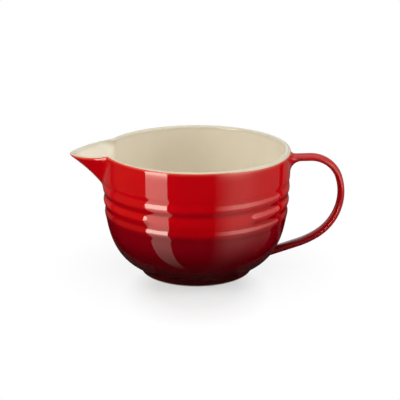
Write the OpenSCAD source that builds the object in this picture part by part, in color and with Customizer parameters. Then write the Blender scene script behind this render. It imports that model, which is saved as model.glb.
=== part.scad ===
// Batter bowl: glazed stoneware mixing bowl with a pouring spout and a loop handle.
// Millimetres, +Z up. The origin is the centre of the foot's resting face.
// The spout points along -X, the handle along +X, and -Y is the front.
// Outer sizes are finished sizes, over the glaze.

/* [Bowl] */
// Outer radius of the bowl's upright side and rim
rim_r = 95; // [85:0.5:110]
// Height of the bowl, from the resting face to the top of the rim
bowl_h = 128.3; // [120:0.1:150]
// Thickness of the wall, glaze included
wall_t = 5.5; // [4.5:0.1:7]
// Thickness of the floor at its middle
floor_t = 6; // [4:0.1:9]
// Squareness of the belly's curve, where 2 gives an ellipse
belly_power = 3.83; // [3:0.01:4.5]
// Thickness of the glaze
glaze_t = 0.4; // [0.3:0.05:0.6]
// How far the cream glaze comes down the outside of the rim
glaze_drop = 2; // [1.5:0.1:2.4]

/* [Ribs] */
// Height of the top rib's crest
rib_top_z = 88.5; // [84:0.1:94]
// Spacing of the ribs
rib_pitch = 12.9; // [11:0.1:14]
// Depth of the grooves between the ribs
rib_depth = 1.1; // [0.6:0.05:1.6]
// Depth of the groove above the top rib
lead_depth = 0.5; // [0.2:0.05:1]
// How far the belly under the ribs sits inside their crests
belly_step = 0.45; // [0.2:0.05:0.8]
// Half the angle of the bare panel in the front of the middle rib
panel_half_angle = 35.5; // [20:0.5:50]
// Radius of the middle rib's rounded ends
rib_end_r = 5; // [3:0.1:6]

/* [Foot] */
// Outer radius of the foot at the resting face, which the belly's curve follows
foot_r = 56.9; // [50:0.1:64]
// How far the foot's outer wall spreads towards its top
foot_spread = 0.3; // [0:0.05:1]
// Height of the foot's outer wall
foot_h = 6; // [5:0.1:7]
// Width of the foot ring
foot_w = 6.5; // [5:0.1:9]
// Depth of the recess inside the foot ring
recess_h = 3.5; // [2.5:0.1:4.5]
// Height of the bare clay above the resting face
bare_h = 1.2; // [0.8:0.1:2]
// Radius of the foot's lower edges
foot_edge_r = 0.6; // [0.3:0.1:0.7]

/* [Spout] */
// How far the tip of the spout stands out from the rim
spout_out = 32.5; // [27:0.5:39]
// How far the lip falls from the rim to the tip
spout_fall = 6.3; // [3:0.1:10]
// Height at which the spout's keel leaves the side of the bowl
keel_z = 89.5; // [84:0.5:96]
// Half the width of the spout where it meets the rim
mouth_half_w = 36; // [30:0.5:40]
// Thickness of the spout's wall, glaze included
spout_t = 4.2; // [3.4:0.1:5]
// Fullness of the spout's sides near the rim
side_power = 1.75; // [1.4:0.05:2.2]
// Fullness of the spout's nose, where 2 is round and 1 is a point
nose_power = 1.47; // [1.3:0.01:1.8]

/* [Handle] */
// Height of the handle's middle line where it leaves the bowl
handle_top_z = 117.6; // [112:0.1:119]
// Rise of the handle's first stretch
handle_rise_angle = 1.5; // [0:0.5:5]
// Length of the straight stretch at the top
handle_run = 20; // [14:0.5:26]
// Radius of the top bend
bend_r = 30.3; // [26:0.1:34]
// Turn of the top bend
bend_angle = 73.2; // [66:0.1:80]
// Radius of the grip's curve
grip_r = 52.9; // [48:0.1:58]
// Turn of the grip's curve
grip_angle = 75.5; // [70:0.1:80]
// Radius of the curve that leads back to the bowl
return_r = 89; // [70:0.5:110]
// Turn of the curve that leads back to the bowl
return_angle = 14; // [10:0.1:18]
// Width of the strap
strap_w = 16.6; // [14:0.1:20]
// Thickness of the strap
strap_t = 7.05; // [6:0.05:9]
// Radius of the flare under the upper root
flare_r = 9; // [5:0.1:12]
// Radius of the flare above and beside the upper root
shoulder_r = 4; // [2:0.1:4.5]
// Radius of the flare round the lower root
lower_flare_r = 3; // [1.5:0.1:5]

/* [Hidden] */

rib_count = 3;
// Turn of the rounded ends about their own axes
rib_end_turn = 30;
// Depth of the bare panel as a share of the grooves' depth
panel_share = 0.93;
belly_steps = 18;
rib_steps = 12;
lip_steps = 11;
inner_steps = 30;
mouth_steps = 32;
spout_lip_steps = 6;
bend_steps = 9;
grip_steps = 9;
return_steps = 3;
flare_steps = 5;
strap_sides = 20;
round_fn = 96;

overrun = foot_h;
lip_r = wall_t / 2;
lip_z = bowl_h - lip_r;
break_z = bowl_h - glaze_drop;
floor_z = recess_h + floor_t;
recess_r = foot_r - foot_w;
lead_z = rib_top_z + rib_pitch;
ribs_low_z = rib_top_z - (rib_count - 0.5) * rib_pitch;
middle_rib_z = rib_top_z - rib_pitch;
foot_top_r = foot_r + foot_spread;
// Depth of the belly's curve, which meets the top of the foot
belly_depth = (bowl_h - foot_h) / pow(1 - pow((foot_top_r + belly_step) / rim_r, belly_power), 1 / belly_power);

// Outline of the side.
// The upright wall and the belly are one squared ellipse, and the ribs are
// left standing by grooves that follow a cosine.

function wave(turns) = (1 - cos(360 * turns)) / 2;

function squared_r(z, r, h) =
    r * pow(max(0, 1 - pow(max(0, bowl_h - z) / h, belly_power)), 1 / belly_power);

function belly_r(z) = squared_r(z, rim_r, belly_depth);

function inner_r(z) = squared_r(z, rim_r - wall_t, bowl_h - floor_z);

function groove(z, panel) =
    let (turns = (rib_top_z - z) / rib_pitch)
    turns < -1 ? 0
    : turns < 0 ? lead_depth * wave(turns)
    : turns < rib_count - 1 ? rib_depth * (panel ? panel_share : wave(turns))
    : belly_step * (turns < rib_count - 0.5 ? wave(turns) : 1);

function side_r(z, panel = false) = belly_r(z) - groove(z, panel);

// Point of the side at height z, moved into the clay by depth
function side_point(z, depth, panel = false) =
    let (
        step = rib_pitch / 50,
        slope = (side_r(z + step, panel) - side_r(z, panel)) / step,
        length = norm([1, slope])
    )
    [side_r(z, panel) - depth / length, z + depth * slope / length];

// Heights that the side is drawn through, from the foot to the rim
belly_heights = [for (i = [1 : belly_steps - 1])
    foot_h + (ribs_low_z - foot_h) * pow(i / belly_steps, 1.4)];
rib_heights = [for (i = [0 : rib_steps * (rib_count + 0.5)])
    ribs_low_z + i * rib_pitch / rib_steps];
side_heights = concat(belly_heights, rib_heights);

function side_points(depth) =
    concat([[foot_top_r - depth, foot_h]], [for (z = side_heights) side_point(z, depth)]);

// Arc over the rim between two angles, from 0 outside to 180 inside
function lip_points(depth, from_angle, to_angle) =
    [for (i = [0 : lip_steps])
        let (a = from_angle + (to_angle - from_angle) * i / lip_steps)
        [rim_r - lip_r + (lip_r - depth) * cos(a), lip_z + (lip_r - depth) * sin(a)]];

// Angle on the rim's arc at which the glaze changes colour
function break_angle(depth) = asin((break_z - lip_z) / (lip_r - depth));

// Inside of the bowl, from under the rim to the middle of the floor
function inner_points(depth) =
    let (
        r = rim_r - wall_t + depth,
        h = bowl_h - floor_z + depth
    )
    [for (i = [2 : inner_steps])
        let (a = 90 * i / inner_steps)
        [r * pow(max(0, cos(a)), 2 / belly_power), bowl_h - h * pow(sin(a), 2 / belly_power)]];

// Distance from a point along a direction to the side of the bowl, or to the
// inner wall, found by halving a span whose far end lies inside
function reach(point, way, low, high, inner = false, tries = 24) =
    let (
        mid = (low + high) / 2,
        p = point + mid * way,
        surface_r = inner ? inner_r(p[2]) : side_r(p[2])
    )
    tries == 0 ? mid
    : norm([p[0], p[1]]) > surface_r ? reach(point, way, mid, high, inner, tries - 1)
    : reach(point, way, low, mid, inner, tries - 1);

// Closed solids of revolution that the wall, the coats and the cuts share

// All of the bowl that lies inside the given depth from its outer surface
module outer_form(depth) {
    difference() {
        rotate_extrude($fn = round_fn)
            polygon(concat(
                [[0, bare_h], [foot_r - depth, bare_h]],
                side_points(depth),
                lip_points(depth, 0, 90),
                [[0, bowl_h - depth]]
            ));
        panel_cut(depth);
    }
}

// The bare front of the middle rib, whose ends stay rounded
module panel_cut(depth) {
    end_angle = asin(rib_end_r / rim_r);
    half_angle = panel_half_angle + end_angle;
    top_z = middle_rib_z + rib_pitch / 2;
    difference() {
        rotate([0, 0, -90 - half_angle])
            rotate_extrude(angle = 2 * half_angle, $fn = round_fn)
                polygon(concat(
                    [for (i = [0 : rib_steps]) side_point(top_z - i * rib_pitch / rib_steps, depth, true)],
                    [[rim_r + overrun, top_z - rib_pitch], [rim_r + overrun, top_z]]
                ));
        for (side = [-1, 1])
            rotate([0, 0, -90 + side * half_angle])
                translate([0, 0, middle_rib_z])
                    rotate([0, 90, 0])
                        rotate([0, 0, rib_end_turn])
                            cylinder(r = rib_end_r - depth, h = rim_r + 2 * overrun, $fn = round_fn);
    }
}

// The space inside the bowl, grown or shrunk by the glaze
module cavity(depth) {
    rotate_extrude($fn = round_fn)
        polygon(concat(
            [[0, bowl_h + overrun], [rim_r - lip_r, bowl_h + overrun]],
            lip_points(depth, 90, 180),
            inner_points(depth)
        ));
}

// Spout.
// Its wall is a curve swept straight along the keel. The curve lies in the
// plane across the keel: width across, depth up from the keel. The lip is
// where the sweep meets a tilted plane that falls from the rim to the tip.

edge_r = spout_t / 2;
mouth_r = mouth_half_w - edge_r;
notch_x = sqrt(pow(rim_r - lip_r, 2) - pow(mouth_r, 2));
notch_z = bowl_h - edge_r;
tip_x = rim_r + spout_out - edge_r;
tip_z = notch_z - spout_fall;
keel_out = tip_x - rim_r;
keel_up = tip_z - keel_z;
keel_angle = atan2(keel_up, keel_out) - asin(edge_r / norm([keel_out, keel_up]));
mouth_depth = (notch_z - keel_z) * cos(keel_angle) + (rim_r - notch_x) * sin(keel_angle) - edge_r;
sweep_span = (keel_out + 4 * wall_t) / cos(keel_angle);
keel_root = [-rim_r, 0, keel_z];
along_keel = [-cos(keel_angle), 0, sin(keel_angle)];
up_keel = [sin(keel_angle), 0, cos(keel_angle)];
// How far behind the rim's middle the lip meets the inner wall
lip_back = notch_x - sqrt(pow(rim_r - wall_t, 2) - pow(mouth_r, 2));

// Share of the mouth's depth that the curve has reached at this angle. From
// -90 to 90 it goes round the mouth, and past that straight on over the rim.
function mouth_share(a) =
    abs(a) > 90 ? abs(a) / 90
    : 1 - pow(max(0, 1 - pow(abs(sin(a)), nose_power)), 1 / side_power);

function mouth_y(a) = mouth_r * (a > 90 ? 1 : a < -90 ? -1 : sin(a));

// The curve of the wall's middle, as depth and width
function mouth_curve(a) = [edge_r + mouth_depth * mouth_share(a), mouth_y(a)];

// Unit vector from the curve to the outside of the spout, as depth and width
function mouth_out(a) =
    let (
        step = 1,
        run = mouth_curve(a + step) - mouth_curve(a - step)
    )
    [-run[1], run[0]] / norm(run);

// Middle of the lip at this angle
function lip_middle(a) =
    let (share = mouth_share(a))
    [-tip_x + (tip_x - notch_x) * share, mouth_y(a), tip_z + spout_fall * min(1, share)];

function out_vector(a) =
    let (out = mouth_out(a))
    out[0] * up_keel + [0, out[1], 0];

// Unit vector from the middle of the lip to its top
function lip_up(a) =
    let (
        step = 1,
        up = cross(lip_middle(a + step) - lip_middle(a - step), out_vector(a))
    )
    up / norm(up) * sign(up[2]);

// Points of the lip's arc, from 0 outside to 180 inside
function lip_arc(a, depth, from_angle) =
    [for (i = [0 : spout_lip_steps])
        let (t = from_angle + (180 - from_angle) * i / spout_lip_steps)
        lip_middle(a) + (edge_r - depth) * (out_vector(a) * cos(t) + lip_up(a) * sin(t))];

// End of the sweep's straight line from a point down to the side of the bowl
function side_root(point) = point - along_keel * reach(point, -along_keel, 0, sweep_span);

// The same down to the inner wall, ended short of it by a coat's thickness or none
function wall_root(point, coat) =
    point - along_keel * (reach(point, -along_keel, 0, sweep_span, true) - coat / cos(keel_angle));

function outer_edge(a, depth) = lip_middle(a) + (edge_r - depth) * out_vector(a);

// Angle round the mouth at which the spout's outside leaves the side of the bowl
function leave_angle(low, high, tries) =
    let (
        mid = (low + high) / 2,
        p = outer_edge(mid, 0)
    )
    tries == 0 ? mid
    : norm([p[0], p[1]]) > rim_r + glaze_t ? leave_angle(mid, high, tries - 1)
    : leave_angle(low, mid, tries - 1);

// Stations round the mouth, out to the angle last at both ends
function stations(last) =
    concat(
        [-last],
        [for (i = [0 : mouth_steps])
            let (a = 180 * i / mouth_steps - 90)
            if (abs(a) < last - 1) a],
        [last]
    );

function reversed(list) = [for (i = [len(list) - 1 : -1 : 0]) list[i]];

// Solid through rings of equal length. Each ring is a thin loop, and its ends
// are closed by strips between the points that face each other across it.
module loft(rings) {
    n = len(rings[0]);
    last = len(rings) - 1;
    sides = [for (k = [0 : last - 1]) for (i = [0 : n - 1])
        let (
            a = k * n + i,
            b = k * n + (i + 1) % n
        )
        each [[a, b, b + n], [a, b + n, a + n]]];
    caps = [for (i = [0 : n / 2 - 2])
        let (
            j = n - 1 - i,
            far = last * n
        )
        each [[i, j, i + 1], [i + 1, j, j - 1],
              [far + i, far + i + 1, far + j], [far + i + 1, far + j - 1, far + j]]];
    polyhedron(points = [for (ring = rings) each ring], faces = concat(sides, caps));
}

// All that lies inside the outer face of the spout's wall, straight along the keel
module spout_form(depth) {
    curve = [for (a = stations(90)) mouth_curve(a) + (edge_r - depth) * mouth_out(a)];
    top = mouth_depth + 4 * wall_t;
    run_in = 6 * wall_t;
    translate(keel_root)
        rotate([0, keel_angle - 90, 0])
            translate([0, 0, -run_in])
                linear_extrude(height = 2 * keel_out + run_in)
                    polygon(concat(
                        [[top, curve[0][1]]],
                        curve,
                        [[top, curve[len(curve) - 1][1]]]
                    ));
}

// Handle.
// The strap's middle line lies in the plane y = 0. It is walked in steps from
// a flare's length outside the rim: a straight run, three curves and then a
// straight arm. At both roots the strap's lines run on to the side of the bowl.

function bend(r, turn, count) =
    [for (i = [1 : count]) [r * turn / count * PI / 180, turn / count]];

walk_steps = concat(
    [[handle_run - flare_r, 0]],
    bend(bend_r, bend_angle, bend_steps),
    bend(grip_r, grip_angle, grip_steps),
    bend(return_r, return_angle, return_steps)
);

// Stations of the walk as x, z and heading
walked =
    [for (
        i = 0,
        x = rim_r + flare_r * cos(handle_rise_angle),
        z = handle_top_z + flare_r * sin(handle_rise_angle),
        a = handle_rise_angle;
        i <= len(walk_steps);
        step = i < len(walk_steps) ? walk_steps[i] : [0, 0],
        x = x + step[0] * cos(a - step[1] / 2),
        z = z + step[0] * sin(a - step[1] / 2),
        a = a - step[1],
        i = i + 1
    ) [x, z, a]];

// Oval section of the strap at a station, with its half widths grown
function strap_ring(station, depth, across, above, below) =
    let (up = [-sin(station[2]), 0, cos(station[2])])
    [for (i = [0 : strap_sides - 1])
        let (
            a = 360 * i / strap_sides,
            half_t = strap_t / 2 - depth + (sin(a) > 0 ? above : below)
        )
        [station[0], (strap_w / 2 - depth + across) * cos(a), station[1]] + half_t * sin(a) * up];

// Growth of the strap a distance from the wall, for a flare of radius r
function flare(distance, r) =
    distance >= r ? 0 : r - sqrt(r * r - pow(r - max(0, distance), 2));

// Rings of a root that flares onto the side of the bowl, from the strap to the
// wall. The list of radii is across, above and below. A ring at a negative
// distance lies inside the wall.
function root_rings(station, way, span, depth, radii, distances) =
    [for (d = distances)
        [for (p = strap_ring(station, depth, flare(d, radii[0]), flare(d, radii[1]), flare(d, radii[2])))
            p + way * (reach(p, way, 0, span) - d)]];

function flare_distances(r) = [for (i = [0 : flare_steps]) r * pow(1 - i / flare_steps, 1.5)];

function strap_rings(depth, run_in) =
    let (
        first = walked[0],
        final = walked[len(walked) - 1],
        to_rim = [-cos(first[2]), 0, -sin(first[2])],
        to_belly = [cos(final[2]), 0, sin(final[2])],
        deeper = run_in > 0 ? [-run_in] : [],
        upper = root_rings(first, to_rim, flare_r + 2 * wall_t, depth,
            [shoulder_r, shoulder_r, flare_r], concat(flare_distances(flare_r), deeper)),
        lower = root_rings(final, to_belly, (final[0] - foot_r) / -to_belly[0], depth,
            [lower_flare_r, 0, lower_flare_r], concat(flare_distances(lower_flare_r), deeper))
    )
    concat(
        reversed(upper),
        [for (i = [1 : len(walked) - 1]) strap_ring(walked[i], depth, 0, 0, 0)],
        lower
    );

// Faces round a tube of rings, outside out, with point numbers from base on
function tube_faces(count, base, flip) =
    [for (k = [0 : count - 2]) for (i = [0 : strap_sides - 1])
        let (
            a = base + k * strap_sides + i,
            b = base + k * strap_sides + (i + 1) % strap_sides,
            c = b + strap_sides,
            d = a + strap_sides
        )
        each flip ? [[a, b, c], [a, c, d]] : [[a, c, b], [a, d, c]]];

// The strap's clay, run on to the middle of the bowl's wall
module strap_form() {
    rings = strap_rings(glaze_t, wall_t / 2);
    far = (len(rings) - 1) * strap_sides;
    caps = [
        [for (i = [0 : strap_sides - 1]) i],
        [for (i = [strap_sides - 1 : -1 : 0]) far + i]
    ];
    polyhedron(
        points = [for (ring = rings) each ring],
        faces = concat(tube_faces(len(rings), 0, false), caps)
    );
}

// Pieces

// Fired clay wall and floor, with the three ribs and the opening for the spout
module bowl_body() {
    color([0.83, 0.78, 0.68])
        difference() {
            outer_form(glaze_t);
            cavity(glaze_t);
            foot_space();
            spout_form(glaze_t);
        }
}

// What the floor leaves to the foot ring and to the recess inside it
module foot_space() {
    translate([0, 0, -overrun])
        cylinder(r = recess_r + glaze_t, h = overrun + recess_h + glaze_t, $fn = round_fn);
    translate([0, 0, -overrun])
        cylinder(r = foot_r + overrun, h = overrun + foot_h, $fn = round_fn);
}

// Turned ring that the bowl stands on, bare at its resting face
module foot_ring() {
    color([0.86, 0.81, 0.72])
        rotate_extrude($fn = round_fn)
            polygon([
                [recess_r + glaze_t + foot_edge_r, 0],
                [foot_r - glaze_t - foot_edge_r, 0],
                [foot_r - glaze_t, foot_edge_r],
                [foot_r - glaze_t, bare_h],
                [foot_top_r - glaze_t, foot_h],
                [recess_r + glaze_t, foot_h],
                [recess_r + glaze_t, foot_edge_r]
            ]);
}

// Clay spout, let through the wall and flush with its inner face
module pouring_spout() {
    inward = [1, 0, 0];
    color([0.83, 0.78, 0.68])
        loft([for (a = stations(90 + lip_back))
            let (
                arc = [for (p = lip_arc(min(90, abs(a)) * sign(a), glaze_t, 0))
                    abs(a) > 90 ? p + inward * (reach(p, inward, 0, 2 * wall_t, true) - 2 * glaze_t) : p],
                outer_root = wall_root(arc[0], glaze_t),
                inner_root = wall_root(arc[spout_lip_steps], glaze_t)
            )
            concat([outer_root], arc, [inner_root, (outer_root + inner_root) / 2])]);
}

// Clay strap, oval in section, with a flare at each root
module handle() {
    color([0.83, 0.78, 0.68])
        difference() {
            strap_form();
            outer_form(glaze_t);
        }
}

// Cream glaze on the inside and over the rim
module inner_glaze() {
    color([0.90, 0.85, 0.73])
        difference() {
            rotate_extrude($fn = round_fn)
                polygon(concat(
                    lip_points(0, break_angle(0), 180),
                    inner_points(0),
                    reversed(inner_points(glaze_t)),
                    reversed(lip_points(glaze_t, break_angle(glaze_t), 180))
                ));
            spout_form(spout_t - glaze_t);
            difference() {
                spout_form(glaze_t);
                cavity(glaze_t);
            }
        }
}

// Red glaze on the outside, from the rim down to the bare edge of the foot
module outer_glaze() {
    color([0.72, 0.04, 0.06])
        difference() {
            outer_form(0);
            outer_form(glaze_t);
            translate([0, 0, break_z])
                cylinder(r = rim_r + overrun, h = overrun, $fn = round_fn);
            spout_form(glaze_t);
            strap_form();
        }
}

// Glaze on the underside, inside the foot ring
module base_glaze() {
    color([0.30, 0.03, 0.05])
        rotate_extrude($fn = round_fn)
            polygon([
                [0, recess_h],
                [recess_r, recess_h],
                [recess_r, bare_h],
                [recess_r + glaze_t, bare_h],
                [recess_r + glaze_t, recess_h + glaze_t],
                [0, recess_h + glaze_t]
            ]);
}

// Cream glaze in the spout and over its lip
module spout_liner() {
    leave = leave_angle(45, 90, 24);
    last = 90 + 90 * lip_back / (tip_x - notch_x);
    color([0.90, 0.85, 0.73])
        loft([for (a = stations(last))
            let (
                from_angle = abs(a) < leave ? 0 : 90 * min(1, (abs(a) - leave) / (90 - leave)),
                finish = lip_arc(a, 0, from_angle),
                clay = lip_arc(a, glaze_t, from_angle)
            )
            concat(
                finish,
                [wall_root(finish[spout_lip_steps], 0), wall_root(clay[spout_lip_steps], 0)],
                reversed(clay)
            )]);
}

// Red glaze under the spout
module spout_glaze() {
    color([0.72, 0.04, 0.06])
        loft([for (a = stations(leave_angle(45, 90, 24)))
            let (
                finish = outer_edge(a, 0),
                clay = outer_edge(a, glaze_t)
            )
            [finish, side_root(finish), side_root(clay), clay]]);
}

// Red glaze all round the handle
module handle_glaze() {
    outer = strap_rings(0, 0);
    inner = strap_rings(glaze_t, 0);
    count = len(outer);
    base = count * strap_sides;
    far = (count - 1) * strap_sides;
    rims = [for (i = [0 : strap_sides - 1])
        let (j = (i + 1) % strap_sides)
        each [[i, j, base + i], [j, base + j, base + i],
              [far + i, base + far + i, far + j], [far + j, base + far + i, base + far + j]]];
    color([0.72, 0.04, 0.06])
        polyhedron(
            points = [for (ring = concat(outer, inner)) each ring],
            faces = concat(tube_faces(count, 0, false), tube_faces(count, base, true), rims)
        );
}

bowl_body();
foot_ring();
pouring_spout();
handle();
inner_glaze();
outer_glaze();
base_glaze();
spout_liner();
spout_glaze();
handle_glaze();
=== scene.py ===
import math

import bmesh
import bpy
import numpy as np
from bpy.props import FloatProperty, FloatVectorProperty, IntProperty, PointerProperty
from bpy.types import Operator, Panel, PropertyGroup
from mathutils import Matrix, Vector

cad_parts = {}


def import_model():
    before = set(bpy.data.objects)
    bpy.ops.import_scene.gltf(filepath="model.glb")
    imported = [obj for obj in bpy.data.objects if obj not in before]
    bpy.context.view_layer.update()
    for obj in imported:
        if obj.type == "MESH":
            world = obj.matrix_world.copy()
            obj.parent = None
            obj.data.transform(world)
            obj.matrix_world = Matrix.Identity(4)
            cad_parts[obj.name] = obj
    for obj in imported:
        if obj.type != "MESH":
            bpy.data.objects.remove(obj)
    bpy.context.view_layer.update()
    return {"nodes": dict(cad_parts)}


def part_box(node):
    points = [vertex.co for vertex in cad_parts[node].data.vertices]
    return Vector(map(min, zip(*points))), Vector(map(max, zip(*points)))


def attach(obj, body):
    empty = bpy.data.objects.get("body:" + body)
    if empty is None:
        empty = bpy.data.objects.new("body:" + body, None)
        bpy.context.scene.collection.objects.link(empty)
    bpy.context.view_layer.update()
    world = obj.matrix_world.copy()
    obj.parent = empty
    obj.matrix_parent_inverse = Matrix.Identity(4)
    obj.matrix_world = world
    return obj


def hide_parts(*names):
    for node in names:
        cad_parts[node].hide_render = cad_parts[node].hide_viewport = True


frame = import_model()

bl_info = {
    "name": "Batter bowl",
    "version": (1, 0, 0),
    "blender": (4, 5, 0),
    "location": "3D View > Sidebar > Batter bowl",
    "description": "Glazed mixing bowl with ribs, a pouring spout and a loop handle",
    "category": "Object",
}

# Sizes are in metres. The origin is the centre of the foot's resting face,
# the spout points along -X, the handle along +X and the front is -Y.
# A turn of 0 points along the spout, 90 degrees to the front, 180 to the handle.
MM = 0.001
FRONT = math.pi / 2
# A length or a turn too small to matter
TINY = 1e-6
# No part of the spout lies further round than this turn, in radians
SPOUT_TURN = 1.3

# The photograph's frame in pixels: its side, the spot that the camera aims at,
# counted from the upper left corner, and the camera's focal length
PICTURE = 400
AIM_SPOT = (196.30, 211.80)
FOCAL = 1271.0


# Settings

def to_size(value):
    """A length of the frame, to a hundredth of a millimetre."""
    return round(value, 5)


def length(name, description, default):
    return FloatProperty(name=name, description=description, default=default,
                         min=0, subtype="DISTANCE", unit="LENGTH", precision=5)


def angle(name, description, degrees):
    return FloatProperty(name=name, description=description,
                         default=math.radians(degrees), subtype="ANGLE", unit="ROTATION")


def share(name, description, default):
    return FloatProperty(name=name, description=description, default=default,
                         min=0, max=1, subtype="FACTOR")


def colour(name, description, default):
    return FloatVectorProperty(name=name, description=description, default=default,
                               size=3, min=0, max=1, subtype="COLOR")


def plain(name, description, default):
    return FloatProperty(name=name, description=description, default=default, min=0)


RIM = to_size(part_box("outer_glaze")[1].y)
HEIGHT = to_size(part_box("inner_glaze")[1].z)
COAT = to_size(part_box("handle_glaze")[1].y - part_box("handle")[1].y)
FOOT = 56.9 * MM
FOOT_TOP = to_size(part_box("foot_ring")[1].x + COAT)
FOOT_HEIGHT = to_size(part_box("foot_ring")[1].z)
FOOT_WALL = to_size(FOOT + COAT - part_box("base_glaze")[1].x)
RECESS = to_size(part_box("base_glaze")[1].z - COAT)
BARE = to_size(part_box("outer_glaze")[0].z)


class BowlSizes(PropertyGroup):
    """Sizes of the bowl's wall, ribs and foot."""
    rim: length("Rim radius", "Outer radius of the upright side", RIM)
    height: length("Height", "From the resting face to the top of the rim", HEIGHT)
    wall: length("Wall", "Thickness of the wall with its glaze", 5.5 * MM)
    floor: length("Floor height", "Height of the floor's upper face at its middle", 9.5 * MM)
    squareness: plain("Squareness", "Power of the belly's curve", 3.83)
    coat: length("Glaze", "Thickness of the glaze", COAT)
    drop: length("Glaze edge", "How far the cream glaze comes down at the front", 0.9 * MM)
    more_drop: length("Glaze edge at the handle", "How much further it comes down there", 1.8 * MM)
    spout_drop: share("Glaze edge at the spout", "Share of the front's drop that is left there", 0.28)
    rib_top: length("Top rib", "Height of the top rib's crest", 89.0 * MM)
    rib_pitch: length("Rib spacing", "Spacing of the ribs", 12.9 * MM)
    rib_depth: length("Groove depth", "Depth of the grooves between the ribs", 1.35 * MM)
    lead_depth: length("Upper groove", "Depth of the groove above the top rib", 0.68 * MM)
    belly_step: length("Belly step", "How far the belly sits inside the crests", 0.45 * MM)
    panel_half: angle("Panel", "Half the angle of the middle rib's bare panel", 32.0)
    panel_middle: angle("Panel's middle", "Turn from the front to the middle of the panel", 2.4)
    rib_end: length("Rib end", "Radius of the middle rib's rounded ends", 5 * MM)
    foot: length("Foot radius", "Outer radius of the foot at the resting face", FOOT)
    foot_top: length("Foot top radius", "Radius of the foot where the belly starts", FOOT_TOP)
    foot_height: length("Foot height", "Height of the foot's outer wall", FOOT_HEIGHT)
    foot_wall: length("Foot width", "Width of the foot ring", FOOT_WALL)
    recess: length("Recess", "Depth of the recess inside the foot ring", RECESS)
    bare: length("Bare edge", "Height of the bare clay over the resting face", BARE)
    fillet: length("Foot fillet", "Glaze that fills the corner over the foot", 0.8 * MM)


class SpoutSizes(PropertyGroup):
    """Sizes of the pouring spout."""
    out: length("Reach", "How far the tip stands out from the rim", 32.2 * MM)
    fall: length("Fall", "How far the lip falls from the rim to the tip", 4.8 * MM)
    keel: length("Keel height", "Height at which the keel leaves the side", 89.5 * MM)
    half_width: length("Half width", "Half the width where the spout meets the rim", 36 * MM)
    wall: length("Wall", "Thickness of the spout's wall", 4.2 * MM)
    sides: plain("Side fullness", "Power of the sides' curve", 1.75)
    nose: plain("Nose fullness", "Power of the nose's curve", 1.47)
    crease: length("Crease", "Softness of the crease on the outside", 2.6 * MM)
    inner_crease: length("Inner edge", "Softness of the edge on the inside", 7.0 * MM)
    hollow: length("Keel's hollow", "How far the keel curves in between its ends", 2.6 * MM)


class HandleSizes(PropertyGroup):
    """Sizes of the loop handle."""
    top: length("Top", "Height of the middle line where it leaves the bowl", 117.6 * MM)
    rise: angle("Rise", "Rise of the first stretch", 1.5)
    run: length("Run", "Length of the straight stretch at the top", 20 * MM)
    bend: length("Bend", "Radius of the top bend", 30.3 * MM)
    bend_turn: angle("Bend's turn", "Turn of the top bend", 73.2)
    grip: length("Grip", "Radius of the grip's curve", 52.9 * MM)
    grip_turn: angle("Grip's turn", "Turn of the grip's curve", 75.5)
    back: length("Return", "Radius of the curve back to the bowl", 89 * MM)
    back_turn: angle("Return's turn", "Turn of the curve back to the bowl", 14)
    width: length("Width", "Width of the strap", 16.6 * MM)
    thickness: length("Thickness", "Thickness of the strap", 7.05 * MM)
    under: length("Under flare", "Flare under the upper root", 11.5 * MM)
    shoulder: length("Shoulder", "Flare above the upper root", 5.2 * MM)
    beside: length("Side flare", "Flare beside the upper root", 7.5 * MM)
    lower: length("Lower flare", "Flare round the lower root", 3.2 * MM)
    sides: IntProperty(name="Sides", description="Points round the strap",
                       default=40, min=12, max=96)


class Colours(PropertyGroup):
    """Colours of the glazes and the clay, and the painted shade over the lip."""
    bright: colour("Upper red", "Red of the upright side", (0.605, 0.0010, 0.005))
    middle: colour("Middle red", "Red below the ribs", (0.20, 0.0006, 0.005))
    deep: colour("Lower red", "Red near the foot", (0.022, 0.0022, 0.0026))
    thin_red: colour("Thin red", "Red glaze where it runs thin at its edge", (0.86, 0.21, 0.09))
    cream: colour("Cream", "Cream of the inside", (0.79, 0.720, 0.584))
    thin_cream: colour("Thin cream", "Cream glaze where it runs thin at its edge", (0.82, 0.50, 0.36))
    # painted shade: darkens the cream over the lip's top, as if less lit there
    lip: colour("Lip", "Tint of the cream glaze over the lip", (0.84, 0.85, 0.84))
    specks: colour("Specks", "Fine specks in the cream glaze", (0.42, 0.33, 0.21))
    clay: colour("Clay", "Bare clay of the foot", (0.50, 0.42, 0.31))
    underside: colour("Underside", "Glaze inside the foot ring", (0.04, 0.012, 0.012))


class Finishes(PropertyGroup):
    """Marks that the firing leaves in the glazes, and painted shade under the ribs and on the handle.
    """
    clouds: share("Clouds", "Strength of the darker clouds in the red", 0.10)
    # painted shade: strength of the darker red on each rib's down-facing flank, as if less lit there
    rib_shade: share("Pools", "Strength of the darker red gathered under the ribs", 0.44)
    red_edge: share("Red edge", "How much the red pales where it runs thin", 0.55)
    red_reach: length("Red edge's width", "Width of that paler edge", 2.6 * MM)
    cream_edge: share("Cream edge", "How much the cream warms where it runs thin", 0.75)
    cream_reach: length("Cream edge's width", "Width of that warmer edge", 1.8 * MM)
    specks: share("Specks", "Strength of the fine specks in the cream", 0.10)
    drift: length("Drift", "How far the red's bands wander up and down", 2.2 * MM)
    # painted shade: darkens the handle's upper red, as if less lit than the bowl
    handle_shade: share("Handle's red", "Brightness of the handle's upper red", 0.82)
    lift: length("Handle's lift", "How much lower the handle darkens than the bowl", 26 * MM)


class Settings(PropertyGroup):
    """All sizes and colours of the batter bowl."""
    bowl: PointerProperty(type=BowlSizes)
    spout: PointerProperty(type=SpoutSizes)
    handle: PointerProperty(type=HandleSizes)
    colours: PointerProperty(type=Colours)
    finishes: PointerProperty(type=Finishes)


# Form of the bowl

def smooth_step(x):
    x = np.clip(x, 0, 1)
    return x * x * (3 - 2 * x)


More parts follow.
